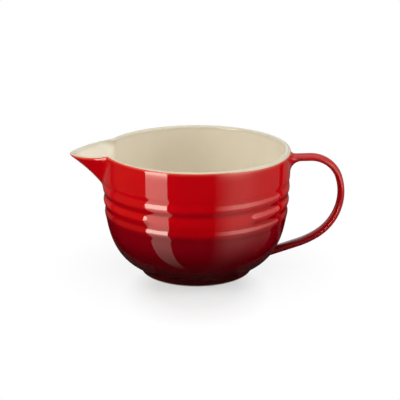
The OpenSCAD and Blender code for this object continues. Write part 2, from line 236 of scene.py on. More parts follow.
def eased(value, start, span):
    """Rises smoothly from 0 at start to 1 a span further on."""
    return smooth_step((value - start) / span)


def soft_max(a, b, k):
    """Larger of two, with the corner between them rounded over k."""
    near = np.maximum(k - np.abs(a - b), 0) / k
    return np.maximum(a, b) + near * near * k / 4


def between(low, high, steps):
    """Values at even steps from low to high, without the two ends, row by row."""
    return low + (high - low) * np.linspace(0, 1, steps + 1)[1:-1, None]


def rounded_corner(start, corner, end, k):
    """Place at share k of a curve from start to end that rounds off the corner."""
    return (1 - k) ** 2 * start + 2 * k * (1 - k) * corner + k * k * end


def turns_round():
    """Turns of the columns, closer together at the spout and at the rib's ends."""
    # the turn at which each stretch ends, in degrees, and its number of columns
    stretches = ((4, 8), (28, 40), (46, 12), (60, 18), (120, 24), (134, 18), (180, 19))
    half = [0.0]
    for end, columns in stretches:
        half += list(np.linspace(half[-1], end, columns + 1)[1:])
    half = np.radians(half)
    return np.r_[half, -half[-2:0:-1]]


def placed(radius, z, turn):
    """Points from radius, height and turn."""
    radius, z, turn = np.broadcast_arrays(radius, z, turn)
    return np.stack([-radius * np.cos(turn), -radius * np.sin(turn), z], axis=-1)


def level_rings(rows, turn):
    """Level rings of points from pairs of radius and height."""
    radius, z = np.array(rows, float).T[:, :, None]
    return placed(radius, z, turn)


class Form:
    """Surfaces of the bowl, as distances from its axis by height and turn."""

    def __init__(self, settings):
        b, s = settings.bowl, settings.spout
        self.b, self.s = b, s
        # half the thickness of the spout's wall and of the bowl's
        self.edge, self.lip = s.wall / 2, b.wall / 2
        # where the spout's lip leaves the rim: half its width there, height and distance
        self.mouth_half = s.half_width - self.edge
        self.notch_z = b.height - self.edge
        notch = math.sqrt((b.rim - self.lip) ** 2 - self.mouth_half ** 2)
        # height of the tip, and angle of the keel, which runs from the side up to it
        self.tip_z = self.notch_z - s.fall
        out, up = s.out - self.edge, self.tip_z - s.keel
        self.keel = math.atan2(up, out) - math.asin(self.edge / math.hypot(out, up))
        # depth of the mouth, square to the keel
        self.mouth_depth = ((self.notch_z - s.keel) * math.cos(self.keel)
                            + (b.rim - notch) * math.sin(self.keel) - self.edge)
        # depth under the rim at which the belly's curve would reach the axis
        whole = 1 - ((b.foot_top + b.belly_step) / b.rim) ** b.squareness
        self.belly_depth = (b.height - b.foot_height) / whole ** (1 / b.squareness)

    def squared(self, z, radius, depth):
        """Curve that falls straight from the rim and turns in to the axis at a depth."""
        power = self.b.squareness
        drop = np.clip((self.b.height - z) / depth, 0, 1)
        return radius * np.maximum(0, 1 - drop ** power) ** (1 / power)

    def groove(self, z, turn):
        """Depth of the grooves at a height and turn."""
        b = self.b
        turns = (b.rib_top - z) / b.rib_pitch
        wave = (1 - np.cos(2 * math.pi * turns)) / 2
        upper = np.where(turns < -1, 0.0, b.lead_depth * wave)
        depth = np.where(turns < 0, upper, b.rib_depth * wave)
        past = (np.abs(turn - FRONT - b.panel_middle) - b.panel_half) * b.rim - b.rib_end
        off = np.hypot((turns - 1) * b.rib_pitch, np.minimum(past, 0))
        bump = b.rib_depth * (1 + np.cos(2 * math.pi * np.minimum(off / b.rib_pitch, 0.5))) / 2
        middle_rib = (turns > 0.5) & (turns < 1.5) & (turn > 0)
        depth = np.where(middle_rib, b.rib_depth - bump, depth)
        return np.where(turns > 2, b.belly_step * np.where(turns < 2.5, wave, 1.0), depth)

    def side(self, z, turn):
        return self.squared(z, self.b.rim, self.belly_depth) - self.groove(z, turn)

    def inner_side(self, z):
        return self.squared(z, self.b.rim - self.b.wall, self.b.height - self.b.floor)

    def mouth(self, offset):
        """Curve of the spout across the keel: depth, half width and share of the way up."""
        steps, straight_steps = 241, 30
        a = np.radians(np.linspace(0, 90, steps))
        part = 1 - np.maximum(0, 1 - np.sin(a) ** self.s.nose) ** (1 / self.s.sides)
        depth = self.edge + self.mouth_depth * part
        width = self.mouth_half * np.sin(a)
        run = np.array([np.gradient(depth), np.gradient(width)])
        run[:, 0] = [0, 1]
        run[:, -1] = [1, 0]
        run /= np.hypot(*run)
        depth = depth - offset * run[1]
        width = np.maximum.accumulate(np.maximum(width + offset * run[0], 0))
        width[0] = 0
        # straight on past the curve's end, so that it is met at every turn
        on = np.linspace(10 * MM, 300 * MM, straight_steps)
        return np.r_[depth, depth[-1] + on], np.r_[width, width[-1] + 0 * on], np.r_[part, 1 + 0 * on]

    def spout(self, z, turn, offset):
        """Distance from the axis to the spout's face, and how far up the mouth's curve it is."""
        depth, width, part = self.mouth(offset)
        reach = np.zeros(np.broadcast(z, turn).shape)
        done = np.ones_like(reach)
        z = np.broadcast_to(z, reach.shape)
        up = np.clip((z - self.s.keel) / (self.tip_z - self.s.keel), 0, 1)
        level = self.b.rim + (z - self.s.keel) / math.tan(self.keel)
        level = level - self.s.hollow * 4 * up * (1 - up)
        for j, t in enumerate(np.abs(turn)):
            if t > SPOUT_TURN:
                continue
            # the column that runs along the keel itself
            if t < TINY:
                reach[:, j] = level[:, j] - depth[0] / math.sin(self.keel)
                done[:, j] = 0
                continue
            along = width / math.tan(t) + depth / math.sin(self.keel)
            reach[:, j] = np.interp(level[:, j], along, width) / math.sin(t)
            done[:, j] = np.interp(level[:, j], along, part)
        return reach, done

    def outside(self, z, turn):
        reach, _ = self.spout(z, turn, self.edge)
        return soft_max(self.side(z, turn), reach, self.s.crease)

    def inside(self, z, turn):
        reach, _ = self.spout(z, turn, -self.edge)
        return soft_max(self.inner_side(z), reach, self.s.inner_crease)

    def lip_top(self, turn):
        """Height of the lip's top at each turn. The fall sets in softly at the rim."""
        rounds, blur, start = 6, 0.004, 0.063
        z = np.full((1, len(turn)), self.notch_z)
        for _ in range(rounds):
            _, part = self.spout(z, turn, 0.0)
            fallen = np.maximum(np.sqrt((1 - part) ** 2 + blur) - start, 0)
            z = self.notch_z - self.s.fall * fallen / (math.sqrt(1 + blur) - start)
        return z[0] + self.edge


class Skins:
    """The finished faces of the bowl as grids of points, row by row."""

    def __init__(self, form):
        self.form = form
        self.turn = turns_round()
        self.top = form.lip_top(self.turn)
        self.cap()

    def cap(self):
        """The rounded lip between the outer and the inner face, as two bands of glaze."""
        f, b, t = self.form, self.form.b, self.turn
        turned = np.degrees(np.abs(t))
        # degrees from the spout's middle at which each change starts, and over how many it goes
        lip_thickens, cream_falls, cream_falls_more = (17, 8), (45, 35), (98, 45)
        # lean of the wall, and half its thickness, a little way under the lip's top
        depth, step = 2.6 * MM, 0.3 * MM
        low = (self.top - depth)[None, :]
        outer, outer_up = f.outside(low, t), f.outside(low + step, t)
        inner, inner_up = f.inside(low, t), f.inside(low + step, t)
        slope = ((outer_up + inner_up) - (outer + inner)) / 2 / step
        tall = 1 / np.hypot(slope, 1)
        thick = (outer - inner) / 2 * tall
        # height of the lip's crown: half the spout's wall near the tip, half the bowl's further round
        crown = f.edge + (f.lip - f.edge) * eased(turned, *lip_thickens)
        middle_z = self.top[None, :] - np.hypot(thick * slope * tall, crown * tall)
        middle = (f.outside(middle_z, t) + f.inside(middle_z, t)) / 2
        rise = np.maximum(self.top[None, :] - middle_z, TINY)
        drop = (b.drop * (b.spout_drop + (1 - b.spout_drop) * eased(turned, *cream_falls))
                + b.more_drop * eased(turned, *cream_falls_more))
        # angle on the lip's section where the cream glaze ends, found by its drop below the top
        out_z = -thick * slope * tall
        up_z = crown * tall
        rounds, lowest, highest = 40, -0.6, 1.2
        start = np.zeros_like(thick)
        for _ in range(rounds):
            z = out_z * np.cos(start) + up_z * np.sin(start)
            start = start + (rise - drop - z) / np.maximum(up_z, TINY) * 0.5
            start = np.clip(start, lowest, highest)

        def on_lip(a):
            radius = middle + thick * tall * np.cos(a) + crown * slope * tall * np.sin(a)
            return placed(radius, middle_z + out_z * np.cos(a) + up_z * np.sin(a), t)

        red_rows, cream_rows = 6, 17
        red = np.linspace(np.minimum(start, 0), start, red_rows)
        cream = np.linspace(start, math.pi, cream_rows)
        self.red_cap = np.concatenate([on_lip(a) for a in red])
        self.cream_cap = np.concatenate([on_lip(a) for a in cream])

    def red(self):
        """Rows of the red skin, from the bare foot up to the glaze's edge."""
        f, b, t = self.form, self.form.b, self.turn
        # the glaze's rounded lower edge, in mm out from the foot's radius and up from the bare clay
        rounded = ((-0.12, 0), (0, 0.25), (0.1, 1.6))
        edge = [(b.foot + out * MM, b.bare + up * MM) for out, up in rounded]
        climb = 0.55 * b.fillet
        below, above = b.foot_height - b.fillet, b.foot_height + climb
        belly_start = float(f.side(above, FRONT))
        fillet = [(rounded_corner(b.foot_top, b.foot_top, belly_start, k),
                   rounded_corner(below, b.foot_height, above, k)) for k in np.linspace(0, 1, 7)]
        # the belly's rows, closer together near the foot, then the ribs' and the upper side's
        belly_rows, rib_rows, upper_rows = 26, 48, 13
        low, high = b.rib_top - 2.5 * b.rib_pitch, b.rib_top + b.rib_pitch
        belly = above + (low - above) * np.linspace(0, 1, belly_rows + 1)[1:] ** 1.5
        ribs = np.linspace(low, high, rib_rows + 1)[1:]
        side_z = np.r_[belly, ribs][:, None]
        upper_z = between(high, self.red_cap[0, :, 2], upper_rows)
        return np.concatenate([level_rings(edge + fillet, t), placed(f.outside(side_z, t), side_z, t),
                               placed(f.outside(upper_z, t), upper_z, t), self.red_cap])

    def cream(self):
        """Rows of the cream skin, from the glaze's edge over the lip to the floor."""
        f, b, t = self.form, self.form.b, self.turn
        spout_ends, upper_rows = 60 * MM, 10
        # angles on the inner curve, further apart on the floor
        a = np.radians(np.r_[np.linspace(2, 60, 30), np.linspace(63, 90, 10)])[:, None]
        power = 2 / b.squareness
        low_z = b.height - (b.height - b.floor) * np.sin(a) ** power
        plain_r = (b.rim - b.wall) * np.maximum(np.cos(a), 0) ** power
        reach, _ = f.spout(low_z, t, -f.edge)
        low_r = np.where(low_z < spout_ends, plain_r, soft_max(plain_r, reach, f.s.inner_crease))
        upper_z = between(self.cream_cap[-1, :, 2], low_z[0], upper_rows)
        upper = placed(f.inside(upper_z, t), upper_z, t)
        return np.concatenate([self.cream_cap, upper, placed(low_r, low_z, t)])


# Meshes and pieces

def grid_normals(grid):
    """Unit vectors out of a grid whose rows close on themselves."""
    across = np.roll(grid, -1, axis=1) - np.roll(grid, 1, axis=1)
    along = np.gradient(grid, axis=0)
    normal = np.cross(across, along)
    size = np.linalg.norm(normal, axis=-1, keepdims=True)
    normal = normal / np.maximum(size, 1e-15)
    poles = size[..., 0] < 1e-13
    for i in range(1, len(grid)):
        normal[i] = np.where(poles[i][:, None], normal[i - 1], normal[i])
    if np.ptp(grid[-1], axis=0).max() < 1e-9:
        mean = normal[-1].mean(axis=0)
        normal[-1] = mean / np.linalg.norm(mean)
    return normal


def grid_mesh(name, grid, values=None, rows_join=False, columns_join=True):
    """Mesh of a grid, whose last row or column may join the first, with values on its points."""
    rows, columns = grid.shape[:2]
    faces = []
    for i in range(rows if rows_join else rows - 1):
        k = (i + 1) % rows
        for j in range(columns if columns_join else columns - 1):
            n = (j + 1) % columns
            faces.append((i * columns + j, i * columns + n, k * columns + n, k * columns + j))
    mesh = bpy.data.meshes.new(name)
    mesh.from_pydata(grid.reshape(-1, 3).tolist(), [], faces)
    for key, field in (values or {}).items():
        layer = mesh.attributes.new(key, "FLOAT", "POINT")
        layer.data.foreach_set("value", np.ascontiguousarray(field, dtype=np.float32).ravel())
    return mesh


def smooth(mesh):
    mesh.polygons.foreach_set("use_smooth", [True] * len(mesh.polygons))
    return mesh


def clean(mesh):
    """Merges points that meet, drops what has no face and turns the faces outward."""
    b = bmesh.new()
    b.from_mesh(mesh)
    bmesh.ops.remove_doubles(b, verts=b.verts, dist=TINY)
    bmesh.ops.dissolve_degenerate(b, edges=b.edges, dist=TINY / 10)
    bmesh.ops.delete(b, geom=[e for e in b.edges if not e.link_faces], context="EDGES")
    bmesh.ops.recalc_face_normals(b, faces=b.faces)
    b.to_mesh(mesh)
    b.free()
    smooth(mesh).set_sharp_from_angle(angle=math.radians(55))
    return mesh


def coat_mesh(name, grid, thickness, values):
    """Closed coat of glaze under a finished face."""
    under = grid - grid_normals(grid) * thickness
    values = {key: np.concatenate([field, field[::-1]]) for key, field in values.items()}
    return grid_mesh(name, np.concatenate([grid, under[::-1]]), values, rows_join=True)


def show(mesh, material):
    """Object that shows a mesh in a material, under the mesh's name."""
    mesh.materials.append(material)
    obj = bpy.data.objects.new(mesh.name, mesh)
    bpy.context.scene.collection.objects.link(obj)
    return obj


def piece(mesh, material, slot, *nodes):
    """Adds a mesh as a piece that rides on the bowl and stands for CAD nodes."""
    clean(mesh)
    if not len(mesh.polygons):
        raise RuntimeError(mesh.name + " has no faces")
    obj = show(mesh, material)
    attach(obj, "root")
    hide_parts(*nodes)


# Form of the handle

class Strap:
    """The loop handle: an oval section carried along its middle line."""

    def __init__(self, settings, form):
        self.h, self.form = settings.handle, form
        h, heading = self.h, self.h.rise
        x = settings.bowl.rim + h.under * math.cos(heading)
        z = h.top + h.under * math.sin(heading)
        self.stations = [(x, z, heading)]
        # length and turn of each short step: a straight stretch, then three arcs
        straight = 4
        moves = [((h.run - h.under) / straight, 0.0)] * straight
        for radius, turn, steps in ((h.bend, h.bend_turn, 20), (h.grip, h.grip_turn, 24),
                                    (h.back, h.back_turn, 8)):
            moves += [(2 * radius * math.sin(turn / steps / 2), turn / steps)] * steps
        for step, turn in moves:
            x += step * math.cos(heading - turn / 2)
            z += step * math.sin(heading - turn / 2)
            heading -= turn
            self.stations.append((x, z, heading))

    def ring(self, station, depth, across=0.0, above=0.0, below=0.0):
        """Section at a station, a depth under the glaze, grown across, above and below."""
        x, z, heading = station
        a = np.arange(self.h.sides) * 2 * math.pi / self.h.sides
        half_t = self.h.thickness / 2 - depth + np.where(np.sin(a) > 0, above, below)
        half_w = self.h.width / 2 - depth + across
        up = np.array([-math.sin(heading), 0, math.cos(heading)])
        points = np.zeros((len(a), 3)) + [x, 0, z]
        points[:, 1] += half_w * np.cos(a)
        return points + (half_t * np.sin(a))[:, None] * up

    def reach(self, points, way, far):
        """Distance of each point along a direction to the side of the bowl."""
        low, high = np.zeros(len(points)), np.full(len(points), far)
        for _ in range(30):
            mid = (low + high) / 2
            p = points + mid[:, None] * way
            out = np.hypot(p[:, 0], p[:, 1]) > self.form.side(p[:, 2], np.full(len(p), math.pi))
            low, high = np.where(out, mid, low), np.where(out, high, mid)
        return (low + high) / 2

    def root(self, station, way, far, depth, radii):
        """Rings that flare from the strap onto the side of the bowl and end just inside it."""
        sunk = 0.3 * MM
        away = [max(radii) * (1 - math.sin(a)) for a in np.radians(np.linspace(0, 90, 13))]
        rings = []
        for d in away + [-sunk]:
            grow = [r - math.sqrt(r * r - (r - max(d, 0)) ** 2) if d < r else 0.0 for r in radii]
            points = self.ring(station, depth, *grow)
            rings.append(points + (self.reach(points, way, far) - d)[:, None] * way)
        return rings

    def grid(self, depth):
        """Rings from the upper root round the loop to the lower root, a depth under the glaze."""
        h = self.h
        first, last = self.stations[0], self.stations[-1]
        to_rim = np.array([-math.cos(first[2]), 0, -math.sin(first[2])])
        to_belly = np.array([math.cos(last[2]), 0, math.sin(last[2])])
        upper = self.root(first, to_rim, 30 * MM, depth, (h.beside, h.shoulder, h.under))
        lower = self.root(last, to_belly, 60 * MM, depth, (h.lower, 0.0, h.lower))
        middle = [self.ring(s, depth) for s in self.stations[1:]]
        return np.array(upper[::-1] + middle + lower)


# Materials

class Nodes:
    """Builds the node tree of a material or of the world."""

    def __init__(self, owner):
        owner.use_nodes = True
        self.owner = owner
        self.tree = owner.node_tree
        self.shader = next(n for n in self.tree.nodes if n.type in ("BSDF_PRINCIPLED", "BACKGROUND"))
        self.output = next(n for n in self.tree.nodes if n.type.startswith("OUTPUT"))

    def add(self, kind, **settings):
        node = self.tree.nodes.new(kind)
        for key, value in settings.items():
            setattr(node, key, value)
        return node

    def feed(self, node, **inputs):
        """Links or sets a node's inputs by their names, written with _ for a space."""
        for key, value in inputs.items():
            self.put(node, key.replace("_", " "), value)

    def put(self, node, socket, value):
        """Links an input to another node's output, or sets it to a value."""
        if isinstance(value, bpy.types.NodeSocket):
            self.tree.links.new(value, node.inputs[socket])
        else:
            node.inputs[socket].default_value = value

    def place(self):
        return self.add("ShaderNodeTexCoord").outputs["Object"]

    def height(self):
        node = self.add("ShaderNodeSeparateXYZ")
        self.put(node, 0, self.place())
        return node.outputs["Z"]

    def distance(self, stretch, shift):
        """Distance from the origin, of the place stretched and then shifted."""
        moved = self.add("ShaderNodeVectorMath", operation="MULTIPLY_ADD")
        for socket, value in enumerate((self.place(), stretch, shift)):
            self.put(moved, socket, value)
        size = self.add("ShaderNodeVectorMath", operation="LENGTH")
        self.put(size, 0, moved.outputs[0])
        return size.outputs["Value"]

    def attribute(self, name):
        return self.add("ShaderNodeAttribute", attribute_name=name).outputs["Fac"]

    def noise(self, scale, detail=2.0, roughness=0.5):
        node = self.add("ShaderNodeTexNoise")
        self.feed(node, Scale=scale, Detail=detail, Roughness=roughness, Vector=self.place())
        return node.outputs["Fac"]

    def remap(self, value, low, high, to_low=0.0, to_high=1.0):
        node = self.add("ShaderNodeMapRange")
        self.feed(node, Value=value, From_Min=low, From_Max=high, To_Min=to_low, To_Max=to_high)
        return node.outputs["Result"]

    def clouds(self, scale, detail, roughness=0.6, low=0.3, high=0.7):
        """Noise from 0 to 1, about scale clouds to the metre. A high range leaves only specks."""
        return self.remap(self.noise(scale, detail, roughness), low, high)

    def sums(self, operation, a, b):
        node = self.add("ShaderNodeMath", operation=operation)
        self.put(node, 0, a)
        self.put(node, 1, b)
        return node.outputs[0]

    def ramp(self, value, stops):
        """Colour by a value, from pairs of value and colour."""
        node = self.add("ShaderNodeValToRGB")
        node.color_ramp.interpolation = "LINEAR"
        elements = node.color_ramp.elements
        for element, (position, shade) in zip(elements, (stops[0], stops[-1])):
            element.position, element.color = position, rgba(shade)
        for position, shade in stops[1:-1]:
            elements.new(position).color = rgba(shade)
        self.put(node, 0, value)
        return node.outputs["Color"]

    def mix(self, factor, a, b, blend="MIX"):
        """Mix of two colours. The colour inputs of the node are its numbers 6 and 7."""
        node = self.add("ShaderNodeMix", data_type="RGBA", blend_type=blend)
        for socket, value in ((0, factor), (6, a), (7, b)):
            self.put(node, socket, value)
        return node.outputs[2]

    def tint(self, base, field, strength, shade):
        """Mixes a shade into a colour by a field and its strength."""
        return self.mix(self.sums("MULTIPLY", field, strength), base, rgba(shade))

    def bump(self, height, strength, distance):
        node = self.add("ShaderNodeBump")
        self.feed(node, Strength=strength, Distance=distance, Height=height)
        self.feed(self.shader, Normal=node.outputs["Normal"])

    def seen(self):
        """1 for what is looked at, straight or in gloss or glass, and 0 where light is cast."""
        path = self.add("ShaderNodeLightPath").outputs
        looked_at = self.sums("MAXIMUM", path["Is Camera Ray"], path["Is Glossy Ray"])
        return self.sums("MAXIMUM", looked_at, path["Is Transmission Ray"])


def material_nodes(name):
    return Nodes(bpy.data.materials.new(name))


def rgba(shade):
    return (*shade, 1.0)


def scaled(shade, k):
    return tuple(min(1.0, c * k) for c in shade)


def glaze_gloss(n, smoothest, roughest, ripple):
    """Gloss of a fired glaze: slightly uneven roughness and a faint ripple."""
    fine_share, depth = 0.012, 0.4 * MM
    roughness = n.remap(n.noise(scale=60, detail=3), 0.35, 0.7, smoothest, roughest)
    n.feed(n.shader, Roughness=roughness)
    wide, fine = n.noise(scale=26, roughness=0.4), n.noise(scale=240)
    n.bump(n.sums("ADD", wide, n.sums("MULTIPLY", fine, fine_share)), ripple, depth)


def red_glaze(name, settings, lift, shaded_brightness):
    """Red glaze that darkens from the rim to the foot, with painted shade under the ribs and, on the
    handle, painted shade that darkens its upper red.
    """
    n = material_nodes(name)
    colours, marks = settings.colours, settings.finishes
    drift = n.remap(n.noise(scale=14, detail=3), 0.3, 0.7, -marks.drift, marks.drift)
    z = n.sums("ADD", n.sums("ADD", n.height(), lift), drift)
    # on the handle this brightness is a painted shade
    bright = scaled(colours.bright, shaded_brightness)
    # share of the bowl's height, and the red there
    stops = [(0.04, scaled(colours.deep, 3.1)), (0.14, scaled(colours.deep, 2.3)),
             (0.27, scaled(colours.middle, 0.54)), (0.37, scaled(colours.middle, 0.98)),
             (0.46, scaled(colours.middle, 1.20)), (0.52, scaled(bright, 0.74)),
             (0.60, bright), (0.90, bright)]
    base = n.ramp(n.remap(z, 0.0, settings.bowl.height), stops)
    base = n.tint(base, n.clouds(scale=34, detail=4), marks.clouds, scaled(colours.middle, 0.6))
    # painted shade: darker red on each rib's down-facing flank, as if less lit there
    base = n.tint(base, n.attribute("painted_rib_shade"), marks.rib_shade, scaled(colours.middle, 0.8))
    base = n.tint(base, n.attribute("glaze_edge"), marks.red_edge, colours.thin_red)
    n.feed(n.shader, Base_Color=base, Specular_IOR_Level=0.5)
    glaze_gloss(n, smoothest=0.03, roughest=0.075, ripple=0.02)
    return n.owner


def cream_glaze(name, settings):
    """Cream glaze with soft clouds and fine specks, and painted shade over the lip's top."""
    n = material_nodes(name)
    colours, marks = settings.colours, settings.finishes
    clouds = n.clouds(scale=22, detail=4, roughness=0.55)
    base = n.mix(clouds, rgba(scaled(colours.cream, 0.97)), rgba(scaled(colours.cream, 1.03)))
    specks = n.clouds(scale=900, detail=2, low=0.70, high=0.78)
    base = n.tint(base, specks, marks.specks, colours.specks)
    base = n.tint(base, n.attribute("glaze_edge"), marks.cream_edge, colours.thin_cream)
    # painted shade: the lip's top is darkened as if less lit
    base = n.mix(n.attribute("painted_lip_shade"), base, rgba(colours.lip), "MULTIPLY")
    n.feed(n.shader, Base_Color=base, Specular_IOR_Level=0.35)
    glaze_gloss(n, smoothest=0.05, roughest=0.11, ripple=0.03)
    return n.owner


def clay_finish(name, settings):
    """Fired stoneware clay, matt and slightly sandy, with darker spots."""
    n = material_nodes(name)
    clay = settings.colours.clay
    smoothest, roughest = 0.78, 0.95
    grain = n.clouds(scale=420, detail=4, roughness=0.65)
    spots = n.clouds(scale=150, detail=3, low=0.62, high=0.72)
    base = n.mix(grain, rgba(scaled(clay, 0.88)), rgba(scaled(clay, 1.08)))
    base = n.tint(base, spots, 0.4, scaled(clay, 0.55))
    n.feed(n.shader, Base_Color=base, Roughness=n.remap(grain, 0.0, 1.0, smoothest, roughest))
    n.bump(grain, strength=0.5, distance=0.15 * MM)
    return n.owner


def underside_glaze(name, settings):
    """Thin dark glaze inside the foot ring."""
    n = material_nodes(name)
    dark = settings.colours.underside
    clouds = n.clouds(scale=90, detail=4)
    n.feed(n.shader, Base_Color=n.mix(clouds, rgba(dark), rgba(scaled(dark, 2.2))))
    glaze_gloss(n, smoothest=0.10, roughest=0.25, ripple=0.15)
    return n.owner


def finish(kind):
    """Material of a finish, made once."""
    name = "finish_" + kind
    found = bpy.data.materials.get(name)
    if found:
        return found
    s = bpy.context.scene.batter_bowl
    if kind == "red_glaze":
        return red_glaze(name, s, 0.0, 1.0)
    if kind == "handle_glaze":
        # the handle's red, darkened by painted shade
        return red_glaze(name, s, s.finishes.lift, s.finishes.handle_shade)
    makers = {"cream_glaze": cream_glaze, "clay": clay_finish, "dark_glaze": underside_glaze}
    return makers[kind](name, s)


# Operators that make the pieces

def edge_values(grid, edge_row, reach):
    """How near each point is to the edge between the two glazes."""
    gap = np.linalg.norm(grid - grid[edge_row][None], axis=-1)
    return np.clip(1 - gap / reach, 0, 1) ** 1.5


def rib_shade_values(b, grid, turn):
    """Painted shade under each rib, where its lower flank faces down."""
    # each band of painted shade starts just above its rib's crest and is nearly as long as the ribs'
    # spacing
    above, span = 0.2, 0.9
    turns = (b.rib_top - grid[..., 2]) / b.rib_pitch + above
    part = np.minimum((turns - np.floor(turns)) / span, 1)
    round_panel = np.abs(turn - FRONT - b.panel_middle) / b.panel_half
    strength = np.where(np.floor(turns) == 1, eased(round_panel, 0.9, 0.2), 1.0)
    on_side = np.hypot(grid[..., 0], grid[..., 1]) < b.rim + 1 * MM
    on_ribs = (turns > 0) & (turns < 2 + span) & on_side
    return np.where(on_ribs, np.sin(math.pi * part) ** 2 * strength, 0)


class RedSkin(Operator):
    """Make the red glaze over the bowl's side and under the spout"""
    bl_idname = "batter_bowl.red_skin"
    bl_label = "Red glaze outside"
    bl_options = {"REGISTER", "UNDO"}

    def execute(self, context):
        s = context.scene.batter_bowl
        skins = Skins(Form(s))
        grid = skins.red()
        # the painted shade under each rib, and the paler red at the glaze's edge
        values = {"painted_rib_shade": rib_shade_values(s.bowl, grid, skins.turn),
                  "glaze_edge": edge_values(grid, -1, s.finishes.red_reach)}
        mesh = coat_mesh("red_outside", grid, s.bowl.coat, values)
        piece(mesh, finish("red_glaze"), "red_glaze", "outer_glaze", "spout_glaze")
        return {"FINISHED"}


class CreamSkin(Operator):
    """Make the cream glaze inside the bowl, over the rim and in the spout"""
    bl_idname = "batter_bowl.cream_skin"
    bl_label = "Cream glaze inside"
    bl_options = {"REGISTER", "UNDO"}

    def execute(self, context):
        s = context.scene.batter_bowl
        skins = Skins(Form(s))
        grid = skins.cream()
        # where the painted shade over the lip's top falls
        values = {"painted_lip_shade": 1 - eased(skins.top - grid[..., 2], 1.5 * MM, 3 * MM),
                  "glaze_edge": edge_values(grid, 0, s.finishes.cream_reach)}
        mesh = coat_mesh("cream_inside", grid, s.bowl.coat, values)
        piece(mesh, finish("cream_glaze"), "cream_glaze", "inner_glaze", "spout_liner")
        return {"FINISHED"}


class ClayBody(Operator):
    """Make the fired clay between the glazes, with the spout drawn out of it"""
    bl_idname = "batter_bowl.clay_body"
    bl_label = "Clay body"
    bl_options = {"REGISTER", "UNDO"}

    def execute(self, context):
        s = context.scene.batter_bowl
        b, skins = s.bowl, Skins(Form(s))
        red, cream = skins.red(), skins.cream()
        red = (red - grid_normals(red) * b.coat)[:-1]
        cream = cream - grid_normals(cream) * b.coat
        inner = b.foot - b.foot_wall + b.coat
        under = b.recess + b.coat
        base = [(0.0, under), (inner * 0.5, under), (inner, under), (inner, b.foot_height),
                (b.foot_top - 2 * b.coat, b.foot_height)]
        over_foot = red[red[:, 0, 2] > b.foot_height - 0.2 * MM]
        grid = np.concatenate([level_rings(base, skins.turn), over_foot, cream])
        piece(grid_mesh("clay_body", grid), finish("clay"), "clay", "bowl_body", "pouring_spout")
        return {"FINISHED"}


class HandleSkin(Operator):
    """Make the red glaze round the loop handle, flared onto the bowl"""
    bl_idname = "batter_bowl.handle_skin"
    bl_label = "Handle glaze"
    bl_options = {"REGISTER", "UNDO"}

    def execute(self, context):
        s = context.scene.batter_bowl
        strap = Strap(s, Form(s))
        outer, inner = strap.grid(0.0), strap.grid(s.bowl.coat)
        mesh = grid_mesh("red_handle", np.concatenate([outer, inner[::-1]]), rows_join=True)
        piece(mesh, finish("handle_glaze"), "red_glaze", "handle_glaze")
        return {"FINISHED"}


class FrameFinishes(Operator):
    """Give the clay strap, the foot ring and the underside their finishes"""
    bl_idname = "batter_bowl.frame_finishes"
    bl_label = "Finishes of the plain parts"
    bl_options = {"REGISTER", "UNDO"}

    def execute(self, context):
        for node, kind in (("handle", "clay"), ("foot_ring", "clay"), ("base_glaze", "dark_glaze")):
            smooth(frame["nodes"][node].data).materials[0] = finish(kind)
        return {"FINISHED"}


# Studio

def floor():
    """Floor that curves up into a backdrop, white to the camera but for the shadow."""
    half_width, bend_start, bend, top = 1.8, 0.9, 0.5, 1.6
    profile = [(y, 0.0) for y in (-1.6, -0.6, -0.2, -0.05, 0.1, 0.3, bend_start)]
    for a in np.radians(np.linspace(0, 90, 13)[1:]):
        profile.append((bend_start + bend * math.sin(a), bend - bend * math.cos(a)))
    profile.append((bend_start + bend, top))
    across = half_width * np.linspace(-1, 1, 9)
    grid = np.array([[(x, y, z) for x in across] for y, z in profile])
    n = material_nodes("studio_floor")
    n.feed(n.shader, Base_Color=(0.74, 0.74, 0.74, 1), Roughness=0.6, Specular_IOR_Level=0.2)
    # two soft ovals of painted shadow, where the glow gives way to the lit floor and its real
    # shadow: stretch and shift of the place, where each one's edge starts and ends, and how much the
    # floor glows inside it
    ovals = (((1.25, 1.0, 0.0), (0.0, 60 * MM, 0.0), 50 * MM, 102 * MM, 0.56),
             ((1.0, 1.0, 1.0), (0.0, 0.0, 0.0), 70 * MM, 150 * MM, 0.86))
    glow = n.seen()
    for stretch, shift, inner, outer, least in ovals:
        glow = n.sums("MINIMUM", glow, n.remap(n.distance(stretch, shift), inner, outer, least))
    mix = n.add("ShaderNodeMixShader")
    parts = (glow, n.shader.outputs[0], n.add("ShaderNodeEmission").outputs[0])
    for socket, part in enumerate(parts):
        n.put(mix, socket, part)
    n.feed(n.output, Surface=mix.outputs[0])
    show(smooth(grid_mesh("studio_floor", grid, columns_join=False)), n.owner)


def lamp(name, place, wide, tall, radiance, shade=(1, 1, 1)):
    """Soft rectangular lamp aimed at the bowl, whose face has the given radiance."""
    aim = Vector((0, 0, 0.1))
    data = bpy.data.lights.new(name, "AREA")
    data.shape = "RECTANGLE"
    data.size, data.size_y = wide, tall
    data.energy = radiance * math.pi * wide * tall
    data.color = shade
    obj = bpy.data.objects.new(name, data)
    bpy.context.scene.collection.objects.link(obj)
    obj.location = place
    obj.rotation_euler = (aim - Vector(place)).to_track_quat("-Z", "Y").to_euler()
    obj.visible_camera = obj.visible_glossy = False


def at(turn, distance, z):
    """Place by its turn to the right of the front, in degrees, distance and height."""
    a = math.radians(turn)
    return (distance * math.sin(a), -distance * math.cos(a), z)


